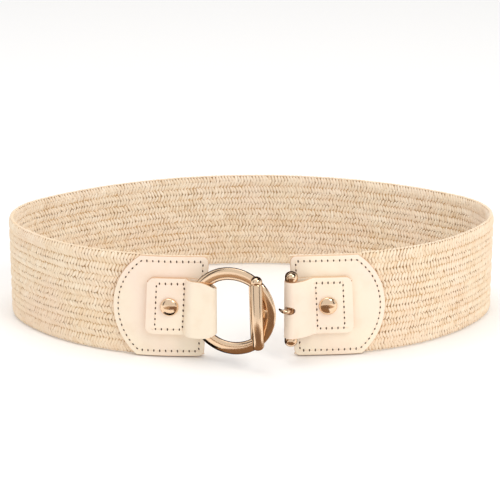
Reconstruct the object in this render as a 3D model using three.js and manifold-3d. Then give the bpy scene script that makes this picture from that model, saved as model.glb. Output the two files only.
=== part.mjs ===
// Elastic stretch belt: a wide braided straw-look band standing on its lower edge, closed at the front by
// two leather tabs. The left tab carries a ring buckle with a toggle rod, the right tab a hook on a pin.
// Millimetres, +Z up, the buckle faces -Y, and the origin is the middle of the belt's footprint.

import * as THREE from "three";
import { mergeVertices } from "three/addons/utils/BufferGeometryUtils.js";
import Module from "manifold-3d";

const wasm = await Module();
wasm.setup();

// The loop seen from above, walked from the middle of the back round one side to the front
const backRadius = 192;
const backAngle = THREE.MathUtils.degToRad(42.7);
const sideRadius = 46;
const sideAngle = THREE.MathUtils.degToRad(77);
const frontRadius = 117;
const frontSlope = THREE.MathUtils.degToRad(2.1); // the tabs come forward towards the buckle

// The braided band: its outer crests follow the loop
const bandWidth = 60;
const bandWall = 2.8;
const braidRows = 8;
const braidGroove = 0.5;
const chordError = 0.15; // how far a straight facet may leave the loop's arcs

// Running gaps between pieces that lie on or in each other
const seatGap = 0.3;
const pinGap = 0.35;

// Leather tabs over the band's two ends, measured from the middle of the front
const leftGap = 27.8;
const rightGap = 20.3;
const tabLength = 53.2;
const tabHeight = 59.4;
const tabWall = 1.6;
const tabTipRadius = 37;
const tabCorner = 3.5;

// The ends lean, so the gap between the tabs is wider at the table than at the top
const endLean = THREE.MathUtils.degToRad(3.2);
const leanFade = { from: 60, to: 110 }; // distance from the front's middle over which the lean dies out
const strapUpright = { before: 14, past: 2 }; // a strap goes from leaning to upright about its bend

// Folded leather straps that hold the buckle and the hook pin, stitched and riveted to the tabs
const buckleHeight = 31; // height of the strap's, ring's and pin's middle line
const strapWall = 1.3;
const strapHeight = 33.2;
const strapCorner = 3.5;
const leftStrapEnd = 61;
const leftStrapBend = 40;
const leftStrapLift = THREE.MathUtils.degToRad(17.5);
const foldHeight = 25.4; // the left strap narrows to this where it folds round the ring
const foldTaper = 10.5;
const rightStrapEnd = 54;
const rightStrapBend = 32.9;
const rightStrapLift = THREE.MathUtils.degToRad(12);

// Handles of the curve that each leather layer follows up to the core: shares of the way to where the
// core starts being full height, and of the height that the layer climbs
const rampRise = 0.3;
const faceRampShares = { steep: 0.15, over: 0.3 };
const roomRampShares = { foot: 0.12, steep: 0.25, over: 0.4 };

// Domed rivets through strap, tab and band
const leftRivet = 48.3;
const rightRivet = 40.2;
const rivetDome = 10;
const rivetDomeHeight = 2.4;
const rivetShank = 3.6;
const rivetDisc = 8.4;
const rivetDiscWall = 0.8;
const rivetHoleGap = 0.3;

// Ring buckle, one soldered piece: ring, crossbar, toggle rod and a bridge to the ring
const ringOuter = 51;
const ringBand = 7.2;
const ringThinning = 1.5; // taken off the band's width beside the rod
const ringRise = 1; // the ring's middle above the strap's
const ringWall = 3.4;
const ringStart = 3.5; // from the strap's bend to the ring's near edge
const foldReach = 16.5; // from the ring's near edge to the outside of the leather fold
const ringLean = THREE.MathUtils.degToRad(1.9); // the rod's top leans back towards the strap
const crossbarPlace = 12.9; // right of the ring's middle
const crossbarWidth = 5;
const crossbarWall = 2.4;
const rodDiameter = 6.6;
const rodLength = 43;
const rodPlace = 16.2;
const rodRise = 1.2; // the rod's middle above the ring's
const rodSolder = 0.7; // how deep the rod sits in the ring's face
const bridgeHeight = 5.3;
const bridgeWall = 3.2;

// Hook pin: a rod in the right strap's fold with domed caps and a curved prong through an oval hole
const pinDiameter = 4.6;
const pinReach = 15; // from the strap's bend to the pin's axis
const pinCap = 7.2;
const pinCapHeight = 5.4;
const hookWire = 2.8;
const hookTip = 0.9;
const hookHoleWidth = 7;
const hookHoleHeight = 4.7;
const hookAngle = THREE.MathUtils.degToRad(246); // where the prong leaves the pin, seen from above
// Prong's middle line from the pin's axis: left, forward and up, as shares of the cap's diameter
const hookPath = [
  { left: 0, forward: 0, up: 0 },
  { left: 0.22, forward: 0.5, up: 0 },
  { left: 0.5, forward: 0.73, up: 0.02 },
  { left: 0.8, forward: 0.62, up: 0.07 },
  { left: 0.94, forward: 0.3, up: 0.12 },
];

const leather = new THREE.MeshStandardMaterial({ color: 0xfde8d0, roughness: 0.55, metalness: 0 });
const braid = new THREE.MeshStandardMaterial({ color: 0xf2d7b0, roughness: 0.85, metalness: 0 });
const roseGold = new THREE.MeshStandardMaterial({ color: 0xd9b07c, roughness: 0.18, metalness: 1 });

const loopArcs = [
  { radius: backRadius, angle: backAngle },
  { radius: sideRadius, angle: sideAngle },
  { radius: frontRadius, angle: Math.PI - frontSlope - backAngle - sideAngle },
];

// Place and heading at a walked length from the middle of the back, on the right half of the loop.
// The heading turns clockwise from +X, so the outward direction is (sin, cos) of it.
function walkLoop(walked) {
  let x = 0;
  let y = 0;
  let heading = 0;
  let left = walked;
  for (const { radius, angle } of loopArcs) {
    const turned = heading + Math.min(left / radius, angle);
    x += radius * (Math.sin(turned) - Math.sin(heading));
    y += radius * (Math.cos(turned) - Math.cos(heading));
    left -= radius * (turned - heading);
    heading = turned;
    if (left <= 0) break;
  }
  left = Math.max(left, 0);
  return { x: x + left * Math.cos(heading), y: y - left * Math.sin(heading), heading };
}

const arcsLength = loopArcs.reduce((sum, { radius, angle }) => sum + radius * angle, 0);
const halfLength = arcsLength + walkLoop(arcsLength).x / Math.cos(frontSlope);

// A point on one side's wall: along is the length from the middle of the front, out is the distance
// outside the band's crests. side is -1 for the left half and 1 for the right half.
function wallFrame(side, along) {
  const { x, y, heading } = walkLoop(halfLength - along);
  return {
    place: new THREE.Vector2(side * x, y),
    inward: new THREE.Vector2(side * Math.cos(heading), -Math.sin(heading)), // towards the front's middle
    outward: new THREE.Vector2(side * Math.sin(heading), Math.cos(heading)),
  };
}

function wallPoint(side, along, out) {
  const { place, outward } = wallFrame(side, along);
  return place.addScaledVector(outward, out);
}

function signedVolume(positions, faces) {
  const corner = (i) => new THREE.Vector3().fromArray(positions, 3 * i);
  let volume = 0;
  for (let i = 0; i < faces.length; i += 3) {
    volume += corner(faces[i]).dot(corner(faces[i + 1]).cross(corner(faces[i + 2]))) / 6;
  }
  return volume;
}

// Closed skin through equal rings of points, with both end rings filled by the given triangles
function loft(rings, capTriangles) {
  const count = rings[0].length;
  const positions = rings.flat().flatMap((point) => [point.x, point.y, point.z]);
  const faces = [];
  for (let ring = 0; ring + 1 < rings.length; ring++) {
    for (let i = 0; i < count; i++) {
      const next = (i + 1) % count;
      const [a, b] = [ring * count + i, ring * count + next];
      faces.push(a, b, b + count, a, b + count, a + count);
    }
  }
  const last = (rings.length - 1) * count;
  for (const [a, b, c] of capTriangles) faces.push(c, b, a, last + a, last + b, last + c);
  if (signedVolume(positions, faces) < 0) faces.reverse();
  const geometry = new THREE.BufferGeometry();
  geometry.setAttribute("position", new THREE.Float32BufferAttribute(positions, 3));
  geometry.setIndex(faces);
  return geometry;
}

function toSolid(geometry) {
  const bare = geometry.clone();
  bare.deleteAttribute("normal");
  bare.deleteAttribute("uv");
  const merged = mergeVertices(bare, 1e-4);
  const mesh = new wasm.Mesh({
    numProp: 3,
    vertProperties: new Float32Array(merged.attributes.position.array),
    triVerts: new Uint32Array(merged.index.array),
  });
  return new wasm.Manifold(mesh);
}

function toGeometry(solid) {
  const mesh = solid.getMesh();
  const geometry = new THREE.BufferGeometry();
  geometry.setAttribute("position", new THREE.BufferAttribute(mesh.vertProperties, 3));
  geometry.setIndex(new THREE.BufferAttribute(mesh.triVerts, 1));
  geometry.computeVertexNormals();
  return geometry;
}

const join = (...geometries) => toGeometry(geometries.map(toSolid).reduce((all, one) => all.add(one)));
const cut = (geometry, ...tools) =>
  toGeometry(tools.map(toSolid).reduce((rest, tool) => rest.subtract(tool), toSolid(geometry)));
const trim = (geometry, within) => toGeometry(toSolid(geometry).intersect(toSolid(within)));

function namedMesh(name, geometry, material) {
  const mesh = new THREE.Mesh(geometry, material);
  mesh.name = name;
  return mesh;
}

// Levels, outside the band's crests, of the layers stacked on each end of the band
const tabSeat = seatGap;
const strapSeat = tabSeat + tabWall + seatGap;
const strapFace = strapSeat + 2 * strapWall;
const rivetSeat = strapFace + seatGap;
const discSeat = -bandWall - seatGap;

// Turn about Z that lays a shape's Y axis along the wall's outward direction
const outwardTurn = (outward) => Math.atan2(outward.y, outward.x) - Math.PI / 2;

// Round tool for a rivet's hole through everything that the rivet joins
function rivetHole(side, along) {
  const margin = 2;
  const radius = rivetShank / 2 + rivetHoleGap;
  const [low, high] = [discSeat - margin, rivetSeat + margin];
  const { place, outward } = wallFrame(side, along);
  const tool = new THREE.CylinderGeometry(radius, radius, high - low, 16);
  tool.translate(0, (low + high) / 2, 0).rotateZ(outwardTurn(outward));
  return tool.translate(place.x, place.y, buckleHeight);
}

// Slides a piece's points along the front, outwards below the buckle's middle line and inwards above it.
// upright gives the distances over which a strap goes from standing straight to leaning.
function leanEnds(geometry, upright = { from: 0, to: 0 }) {
  const points = geometry.attributes.position;
  for (let i = 0; i < points.count; i++) {
    const [x, reach] = [points.getX(i), Math.abs(points.getX(i))];
    const started = THREE.MathUtils.smoothstep(reach, upright.from, upright.to);
    const share = started * (1 - THREE.MathUtils.smoothstep(reach, leanFade.from, leanFade.to));
    const slide = Math.tan(endLean) * (buckleHeight - points.getZ(i)) * share;
    points.setX(i, x + Math.sign(x) * slide);
  }
  geometry.computeVertexNormals();
  return geometry;
}

function wovenBand() {
  const rowHeight = bandWidth / braidRows;
  const outer = [];
  for (let row = 0; row < braidRows; row++) {
    outer.push({ out: -braidGroove, z: row * rowHeight }, { out: 0, z: (row + 0.5) * rowHeight });
  }
  outer.push({ out: -braidGroove, z: bandWidth });
  const inner = outer.map(({ out, z }) => ({ out: -bandWall - out, z })).reverse();
  const profile = [...outer, ...inner];
  const caps = THREE.ShapeUtils.triangulateShape(profile.map(({ out, z }) => new THREE.Vector2(out, z)), []);

  const stations = [0];
  let walked = 0;
  for (const { radius, angle } of loopArcs) {
    const steps = Math.ceil(angle / (2 * Math.acos(1 - chordError / radius)));
    for (let i = 1; i <= steps; i++) stations.push(walked + (radius * angle * i) / steps);
    walked += radius * angle;
  }
  const half = (side, gap) => {
    const end = halfLength - gap;
    const kept = [...stations.filter((station) => station < end - 1), end];
    return kept.map((station) => ({ side, along: halfLength - station }));
  };
  const path = [...half(-1, leftGap).reverse(), ...half(1, rightGap).slice(1)];
  const rings = path.map(({ side, along }) =>
    profile.map(({ out, z }) => {
      const point = wallPoint(side, along, out);
      return new THREE.Vector3(point.x, point.y, z);
    })
  );
  return cut(leanEnds(loft(rings, caps)), rivetHole(-1, leftRivet), rivetHole(1, rightRivet));
}

// Leather tab: rounded corners at the straight end, one full-height arc at the other end
function tab(side, gap, rivet) {
  const half = tabHeight / 2;
  const outline = [];
  const cornerSteps = 4;
  for (let i = 0; i <= cornerSteps; i++) {
    const turn = (i / cornerSteps) * (Math.PI / 2);
    outline.push({
      along: tabCorner * (1 - Math.cos(turn)),
      half: half - tabCorner * (1 - Math.sin(turn)),
    });
  }
  const tipAngle = Math.asin(half / tabTipRadius);
  const tipStart = tabLength - tabTipRadius * (1 - Math.cos(tipAngle));
  const straightSteps = 6;
  for (let i = 1; i < straightSteps; i++) {
    outline.push({ along: tabCorner + ((tipStart - tabCorner) * i) / straightSteps, half });
  }
  const tipSteps = 9;
  for (let i = 0; i < tipSteps; i++) {
    const turn = tipAngle * (1 - i / (tipSteps - 0.5));
    outline.push({
      along: tabLength - tabTipRadius * (1 - Math.cos(turn)),
      half: tabTipRadius * Math.sin(turn),
    });
  }
  const rings = outline.map(({ along, half: reach }) => {
    const back = wallPoint(side, gap + along, tabSeat);
    const face = wallPoint(side, gap + along, tabSeat + tabWall);
    const [low, high] = [bandWidth / 2 - reach, bandWidth / 2 + reach];
    return [
      new THREE.Vector3(back.x, back.y, low),
      new THREE.Vector3(face.x, face.y, low),
      new THREE.Vector3(face.x, face.y, high),
      new THREE.Vector3(back.x, back.y, high),
    ];
  });
  return cut(leanEnds(loft(rings, [[0, 1, 2], [0, 2, 3]])), rivetHole(side, rivet));
}

// The strap's lifted end: reach runs from the bend towards its fold, rise away from the tab
function liftedFrame(side, bend, lift) {
  const { inward, outward } = wallFrame(side, bend);
  const origin = wallPoint(side, bend, strapSeat);
  const reachWay = inward.clone().multiplyScalar(Math.cos(lift)).addScaledVector(outward, Math.sin(lift));
  const riseWay = outward.clone().multiplyScalar(Math.cos(lift)).addScaledVector(inward, -Math.sin(lift));
  const at = (reach, rise) => origin.clone().addScaledVector(reachWay, reach).addScaledVector(riseWay, rise);
  return { at, reachWay, riseWay };
}

// Outline points anticlockwise, without the ones that repeat their neighbour
function cleanOutline(points) {
  const kept = points.filter((point, i) => point.distanceTo(points.at(i - 1)) > 1e-3);
  return THREE.ShapeUtils.isClockWise(kept) ? kept.reverse() : kept;
}

// Curve of the upper leather layer, from where it leaves the lower one to full height over the core
const rampCurve = (start, steep, over, end) => new THREE.CubicBezierCurve(start, steep, over, end).getPoints(8);

// A strap folded round a core: a flat double layer on the tab, then two layers with the core between.
// core gives where the core's room starts being full height, its middle at the fold and its height.
function strap({ side, end, bend, lift, core, endHeight, taper, rivet }) {
  const frame = liftedFrame(side, bend, lift);
  const full = 2 * strapWall + core.height;
  const flatSteps = 5;
  const spare = 2; // the plan reaches this far past the outline that trims it
  const flat = (level) =>
    Array.from({ length: flatSteps + 1 }, (_, i) =>
      wallPoint(side, end + spare + ((bend - end - spare) * i) / flatSteps, level)
    );
  const foldArc = (radius) => {
    const steps = 10;
    return Array.from({ length: steps + 1 }, (_, i) => {
      const turn = -Math.PI / 2 + (Math.PI * i) / steps;
      return frame.at(core.middle + radius * Math.cos(turn), full / 2 + radius * Math.sin(turn));
    });
  };
  const faceFlat = flat(strapFace).reverse();
  const faceRamp = rampCurve(
    faceFlat[0],
    frame.at(core.start * faceRampShares.steep, 2 * strapWall + core.height * rampRise),
    frame.at(core.start * faceRampShares.over, full),
    frame.at(core.start, full)
  ).reverse();
  const around = [...flat(strapSeat), ...foldArc(full / 2), ...faceRamp, ...faceFlat.slice(1)];

  const roomRamp = rampCurve(
    frame.at(core.start * roomRampShares.foot, strapWall),
    frame.at(core.start * roomRampShares.steep, strapWall + core.height * rampRise),
    frame.at(core.start * roomRampShares.over, strapWall + core.height),
    frame.at(core.start, strapWall + core.height)
  ).reverse();
  const room = [...foldArc(core.height / 2), ...roomRamp];

  const shape = new THREE.Shape(cleanOutline(around));
  shape.holes.push(new THREE.Path(cleanOutline(room)));
  const plan = new THREE.ExtrudeGeometry(shape, { depth: strapHeight, bevelEnabled: false });
  plan.translate(0, 0, buckleHeight - strapHeight / 2);

  // The strap seen from the front: rounded corners at its stitched end, narrower at its fold
  const endX = wallPoint(side, end, strapSeat).x;
  const foldX = frame.at(core.middle + full / 2, full / 2).x;
  const reach = Math.abs(foldX - endX);
  const half = strapHeight / 2;
  const view = new THREE.Shape();
  view.moveTo(reach - taper, -half);
  view.quadraticCurveTo(reach - taper * 0.5, -half, reach, -endHeight / 2);
  view.lineTo(reach + spare, -endHeight / 2);
  view.lineTo(reach + spare, endHeight / 2);
  view.lineTo(reach, endHeight / 2);
  view.quadraticCurveTo(reach - taper * 0.5, half, reach - taper, half);
  view.absarc(strapCorner, half - strapCorner, strapCorner, Math.PI / 2, Math.PI, false);
  view.absarc(strapCorner, strapCorner - half, strapCorner, Math.PI, Math.PI * 1.5, false);
  const depth = bandWidth; // more than the strap reaches forward
  const front = new THREE.ExtrudeGeometry(view, { depth, bevelEnabled: false, curveSegments: 6 });
  front.translate(0, 0, -depth / 2).rotateX(Math.PI / 2);
  if (side > 0) front.rotateZ(Math.PI);
  front.translate(endX, wallPoint(side, bend, strapFace).y, buckleHeight);
  const upright = { from: bend - strapUpright.before, to: bend + strapUpright.past };
  return cut(leanEnds(trim(plan, front), upright), rivetHole(side, rivet));
}

// Rivet about its own axis Y, with Y = 0 at the band's outer crests
function rivet() {
  const sides = 24;
  const domeSteps = 5;
  const domeRadius = rivetDome / 2;
  const profile = [
    new THREE.Vector2(0, discSeat - rivetDiscWall),
    new THREE.Vector2(rivetDisc / 2, discSeat - rivetDiscWall),
    new THREE.Vector2(rivetDisc / 2, discSeat),
    new THREE.Vector2(rivetShank / 2, discSeat),
    new THREE.Vector2(rivetShank / 2, rivetSeat),
    new THREE.Vector2(domeRadius, rivetSeat),
  ];
  for (let i = 1; i < domeSteps; i++) {
    const turn = (i / domeSteps) * (Math.PI / 2);
    const rise = rivetDomeHeight * Math.sin(turn);
    profile.push(new THREE.Vector2(domeRadius * Math.cos(turn), rivetSeat + rise));
  }
  profile.push(new THREE.Vector2(0, rivetSeat + rivetDomeHeight));
  return new THREE.LatheGeometry(profile, sides);
}

// Ring, crossbar, bridge and toggle rod about the ring's middle: X across, Z up, the rod on the -Y face
function ringBuckle() {
  const sectionSides = 12;
  const ringMiddle = (ringOuter - ringBand) / 2;
  const section = Array.from({ length: sectionSides + 1 }, (_, i) => {
    const turn = (2 * Math.PI * (i % sectionSides)) / sectionSides;
    return new THREE.Vector2(ringMiddle + (ringBand / 2) * Math.cos(turn), (ringWall / 2) * Math.sin(turn));
  });
  const ring = new THREE.LatheGeometry(section, 48);
  const points = ring.attributes.position;
  for (let i = 0; i < points.count; i++) {
    const radius = Math.hypot(points.getX(i), points.getZ(i));
    const depth = (ringOuter / 2 - radius) / ringBand; // 0 at the outer edge, 1 at the inner
    const towardsRod = Math.max(points.getX(i) / radius, 0) ** 2;
    const stretch = 1 + (ringThinning * depth * towardsRod) / radius;
    points.setXYZ(i, points.getX(i) * stretch, points.getY(i), points.getZ(i) * stretch);
  }

  const crossbarHalf = Math.sqrt(ringMiddle ** 2 - crossbarPlace ** 2);
  const crossbar = new THREE.BoxGeometry(crossbarWidth, crossbarWall, 2 * crossbarHalf);
  crossbar.translate(crossbarPlace, 0, 0);
  const bridge = new THREE.BoxGeometry(ringMiddle - crossbarPlace, bridgeWall, bridgeHeight);
  bridge.translate((ringMiddle + crossbarPlace) / 2, 0, 0);

  const rodRadius = rodDiameter / 2;
  const rod = new THREE.CapsuleGeometry(rodRadius, rodLength - rodDiameter, 4, 16);
  rod.rotateX(Math.PI / 2).translate(rodPlace, -(ringWall / 2 + rodRadius - rodSolder), rodRise);
  return join(ring, crossbar, bridge, rod).rotateY(-ringLean);
}

// Pin about its own axis Z, with Z = 0 at the middle of the strap
function hookBar() {
  const sides = 20;
  const pinHalf = strapHeight / 2 + seatGap;
  const capRadius = pinCap / 2;
  const domeShare = 0.6; // the part of the cap's height that is domed
  const domeSteps = 4;
  const upper = [
    new THREE.Vector2(pinDiameter / 2, pinHalf),
    new THREE.Vector2(capRadius, pinHalf),
  ];
  for (let i = 0; i < domeSteps; i++) {
    const turn = (i / domeSteps) * (Math.PI / 2);
    const rise = pinCapHeight * (1 - domeShare + domeShare * Math.sin(turn));
    upper.push(new THREE.Vector2(capRadius * Math.cos(turn), pinHalf + rise));
  }
  upper.push(new THREE.Vector2(0, pinHalf + pinCapHeight));
  const lower = upper.map(({ x, y }) => new THREE.Vector2(x, -y)).reverse();
  const pin = new THREE.LatheGeometry([...lower, ...upper], sides).rotateX(Math.PI / 2);

  const path = hookPath.map(({ left, forward, up }) =>
    new THREE.Vector3(-left, -forward, up).multiplyScalar(pinCap)
  );
  const curve = new THREE.CatmullRomCurve3(path);
  const stations = 12;
  const around = 10;
  const rings = Array.from({ length: stations + 1 }, (_, i) => {
    const share = i / stations;
    const middle = curve.getPointAt(share);
    const way = curve.getTangentAt(share);
    const across = new THREE.Vector3(way.y, -way.x, 0).normalize();
    const over = new THREE.Vector3().crossVectors(across, way);
    const radius = THREE.MathUtils.lerp(hookWire / 2, hookTip / 2, THREE.MathUtils.smoothstep(share, 0.45, 1));
    return Array.from({ length: around }, (_, j) => {
      const turn = (2 * Math.PI * j) / around;
      return middle
        .clone()
        .addScaledVector(across, radius * Math.cos(turn))
        .addScaledVector(over, radius * Math.sin(turn));
    });
  });
  const fan = Array.from({ length: around - 2 }, (_, j) => [0, j + 1, j + 2]);
  return join(pin, loft(rings, fan));
}

// Oval hole through the right strap's fold for the prong, which leaves room for the pin to turn
function hookHole(axis) {
  const length = pinDiameter + 2 * strapWall;
  const hole = new THREE.CylinderGeometry(0.5, 0.5, length, 20);
  hole.scale(hookHoleWidth, 1, hookHoleHeight);
  hole.translate(0, pinDiameter / 4 + length / 2, 0);
  hole.rotateZ(hookAngle - Math.PI / 2);
  return hole.translate(axis.x, axis.y, buckleHeight);
}

const ringRoom = { start: ringStart + ringBand / 2, height: ringWall + 2 * seatGap };
const ringFold = ringStart + foldReach - strapWall - ringRoom.height / 2;
const leftFrame = liftedFrame(-1, leftStrapBend, leftStrapLift);
const ringPlace = leftFrame.at(ringStart + ringOuter / 2, strapWall + ringRoom.height / 2);
const ringTurn = Math.atan2(leftFrame.reachWay.y, leftFrame.reachWay.x);

const pinRoom = pinDiameter + 2 * pinGap;
const rightFrame = liftedFrame(1, rightStrapBend, rightStrapLift);
const pinPlace = rightFrame.at(pinReach, strapWall + pinRoom / 2);

const strapLeft = strap({
  side: -1,
  end: leftStrapEnd,
  bend: leftStrapBend,
  lift: leftStrapLift,
  core: { ...ringRoom, middle: ringFold },
  endHeight: foldHeight,
  taper: foldTaper,
  rivet: leftRivet,
});
const strapRight = cut(
  strap({
    side: 1,
    end: rightStrapEnd,
    bend: rightStrapBend,
    lift: rightStrapLift,
    core: { start: pinReach, middle: pinReach, height: pinRoom },
    endHeight: strapHeight,
    taper: foldTaper,
    rivet: rightRivet,
  }),
  hookHole(pinPlace)
);

function placedRivet(name, side, along) {
  const { place, outward } = wallFrame(side, along);
  const mesh = namedMesh(name, rivet(), roseGold);
  mesh.position.set(place.x, place.y, buckleHeight);
  mesh.rotation.z = outwardTurn(outward);
  return mesh;
}

const buckle = namedMesh("ring_buckle", ringBuckle(), roseGold);
buckle.position.set(ringPlace.x, ringPlace.y, buckleHeight + ringRise);
buckle.rotation.z = ringTurn;

const pin = namedMesh("hook_bar", hookBar(), roseGold);
pin.position.set(pinPlace.x, pinPlace.y, buckleHeight);

const belt = new THREE.Group();
belt.add(
  namedMesh("woven_band", wovenBand(), braid),
  namedMesh("tab_left", tab(-1, leftGap, leftRivet), leather),
  namedMesh("tab_right", tab(1, rightGap, rightRivet), leather),
  namedMesh("strap_left", strapLeft, leather),
  namedMesh("strap_right", strapRight, leather),
  placedRivet("rivet_left", -1, leftRivet),
  placedRivet("rivet_right", 1, rightRivet),
  buckle,
  pin
);

// Stand the belt with the middle of its footprint at the origin
const footprint = new THREE.Box3().setFromObject(belt, true);
belt.position.set(
  -(footprint.min.x + footprint.max.x) / 2,
  -(footprint.min.y + footprint.max.y) / 2,
  -footprint.min.z
);

const part = new THREE.Group();
part.add(belt);
export default part;
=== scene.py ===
# %% [markdown]
# # Dressing an elastic stretch belt
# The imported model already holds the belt's construction: a ribbed band, two leather tabs, two folded
# straps, rivets, a ring buckle and a hook on a pin. This lesson gives each of them the surface that a
# real belt has. We load the model as a fixed frame and build every new piece around it, so nothing has
# to be fitted afterwards.

# %% Load the frame
import math

import bmesh
import bpy
import numpy as np
from mathutils import Matrix, Vector


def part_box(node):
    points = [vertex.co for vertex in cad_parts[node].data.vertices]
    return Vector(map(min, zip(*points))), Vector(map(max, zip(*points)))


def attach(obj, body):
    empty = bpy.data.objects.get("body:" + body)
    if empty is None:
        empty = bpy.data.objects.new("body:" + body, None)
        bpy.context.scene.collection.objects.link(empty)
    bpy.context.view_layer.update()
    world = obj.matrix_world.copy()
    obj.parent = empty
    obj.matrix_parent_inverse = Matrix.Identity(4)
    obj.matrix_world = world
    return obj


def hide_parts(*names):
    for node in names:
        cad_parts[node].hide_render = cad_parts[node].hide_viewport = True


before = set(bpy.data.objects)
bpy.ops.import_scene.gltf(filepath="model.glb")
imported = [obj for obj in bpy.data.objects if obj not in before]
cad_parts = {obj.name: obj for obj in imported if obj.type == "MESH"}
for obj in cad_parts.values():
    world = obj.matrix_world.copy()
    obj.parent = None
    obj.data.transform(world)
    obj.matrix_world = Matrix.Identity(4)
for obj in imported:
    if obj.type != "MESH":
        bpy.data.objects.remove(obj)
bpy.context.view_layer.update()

scene = bpy.context.scene
MM = 0.001  # the pieces are drawn in millimetres and turned to metres when they are finished

# %% [markdown]
# ## The camera
# A product photograph is taken with a long lens from a little above. This one doesn't tell the camera's
# height: anything from 4 to 28 degrees fits the belt's edges to 1.3 to 2 pixels, the low ones best, and
# each height goes with a loop of another depth. We take 18 degrees, where the loop is 73 cm round, an
# ordinary waist. The distance (1.1 m) and the lens then follow from the belt's near and far edges.
# The belt was turned a little on the table, so the camera stands slightly to the left of the middle.

# %% Camera
CAMERA_PLACE = Vector((-30.5, -1049.8, 381.4)) * MM
CAMERA_TARGET = Vector((-1.1, 11.6, 36.4)) * MM
LENS_MM = 133.1
SENSOR_MM = 36.0

camera_data = bpy.data.cameras.new("camera")
camera_data.lens = LENS_MM
camera_data.sensor_width = SENSOR_MM
camera_data.sensor_fit = "HORIZONTAL"
camera = bpy.data.objects.new("camera", camera_data)
camera.location = CAMERA_PLACE
camera.rotation_euler = (CAMERA_TARGET - CAMERA_PLACE).to_track_quat("-Z", "Y").to_euler()
scene.collection.objects.link(camera)
scene.camera = camera
print("camera distance:", round((CAMERA_TARGET - CAMERA_PLACE).length, 3), "m")

# %% [markdown]
# ## Colours and nodes
# Colours are given as sRGB hex values, but a shader works with linear light, so one function
# turns the one into the other. A second function adds a node, sets its values and links its inputs, which
# keeps each material short enough to read.

# %% Colour and node helpers
def from_hex(code):
    """An sRGB hex colour as linear red, green, blue and alpha."""
    levels = [int(code[i:i + 2], 16) / 255 for i in (0, 2, 4)]
    linear = [v / 12.92 if v <= 0.04045 else ((v + 0.055) / 1.055) ** 2.4 for v in levels]
    return (*linear, 1.0)


def add_node(tree, kind, settings=None, links=None):
    """Adds a node with its settings, and links other nodes' outputs to its inputs."""
    node = tree.nodes.new(kind)
    for name, value in (settings or {}).items():
        if isinstance(name, int) or name in node.inputs:
            node.inputs[name].default_value = value
        else:
            setattr(node, name, value)
    for name, output in (links or {}).items():
        tree.links.new(output, node.inputs[name])
    return node


def new_material(name, settings):
    """A material with one Principled shader, returned with its tree and shader."""
    material = bpy.data.materials.new(name)
    material.use_nodes = True
    tree = material.node_tree
    tree.nodes.clear()
    shader = add_node(tree, "ShaderNodeBsdfPrincipled", settings)
    add_node(tree, "ShaderNodeOutputMaterial", links={"Surface": shader.outputs["BSDF"]})
    return material, tree, shader


MIX_A, MIX_B, MIX_RESULT = 6, 7, 2  # the colour sockets of a Mix node

# %% [markdown]
# ## The studio
# The belt stands on a white table in a light tent, so light comes from everywhere and shadows are faint.
# A soft lamp from the upper right makes that side of the braid brighter. Polished metal shows what
# stands round it, and in a plain white tent it would look flat, so photographers put brown and black
# cards round it. Ours are seen only in reflections, and their colours are given one by one.

# %% Floor, sky and lamps
FLOOR_HALF = 6.0
FLOOR_DROP = 0.0004  # keeps the belt's lower edge just clear of the table

floor_material, _, _ = new_material(
    "white table", {"Base Color": from_hex("FCFBFA"), "Roughness": 0.8, "Specular IOR Level": 0.1}
)
floor_bm = bmesh.new()
bmesh.ops.create_grid(floor_bm, x_segments=1, y_segments=1, size=FLOOR_HALF)
floor_mesh = bpy.data.meshes.new("floor")
floor_bm.to_mesh(floor_mesh)
floor_bm.free()
floor = bpy.data.objects.new("floor", floor_mesh)
floor_mesh.materials.append(floor_material)
floor.location.z = -FLOOR_DROP
scene.collection.objects.link(floor)

world = bpy.data.worlds.new("light tent")
scene.world = world
world.use_nodes = True
world.node_tree.nodes["Background"].inputs["Color"].default_value = from_hex("FFFFFF")
world.node_tree.nodes["Background"].inputs["Strength"].default_value = 0.81
scene.view_settings.view_transform = "Standard"


def soft_lamp(name, place, size, power, colour="FFFFFF"):
    """A square lamp aimed at the belt's front."""
    data = bpy.data.lights.new(name, "AREA")
    data.size = size
    data.energy = power
    data.color = from_hex(colour)[:3]
    lamp = bpy.data.objects.new(name, data)
    lamp.location = place
    lamp.rotation_euler = (Vector((0, 0, 0.03)) - Vector(place)).to_track_quat("-Z", "Y").to_euler()
    scene.collection.objects.link(lamp)


soft_lamp("key lamp", (0.75, -0.9, 1.1), 0.6, 6.0, "FFFBF4")
soft_lamp("top lamp", (-0.2, 0.1, 1.5), 1.0, 6.0)


def reflected_card(name, place, size, facing, colour):
    """A matt card that shows only in reflections: its middle, width and height, facing and colour."""
    bm = bmesh.new()
    bmesh.ops.create_grid(bm, x_segments=1, y_segments=1, size=0.5)
    bmesh.ops.scale(bm, vec=(size[0], size[1], 1), verts=bm.verts)
    mesh = bpy.data.meshes.new(name)
    bm.to_mesh(mesh)
    bm.free()
    material, _, _ = new_material(
        name, {"Base Color": from_hex(colour), "Roughness": 1.0, "Specular IOR Level": 0.0}
    )
    mesh.materials.append(material)
    card = bpy.data.objects.new(name, mesh)
    card.location = place
    card.rotation_euler = Vector(facing).to_track_quat("Z", "Y").to_euler()
    for kind in ("camera", "diffuse", "shadow", "transmission"):
        setattr(card, "visible_" + kind, False)
    scene.collection.objects.link(card)


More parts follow.
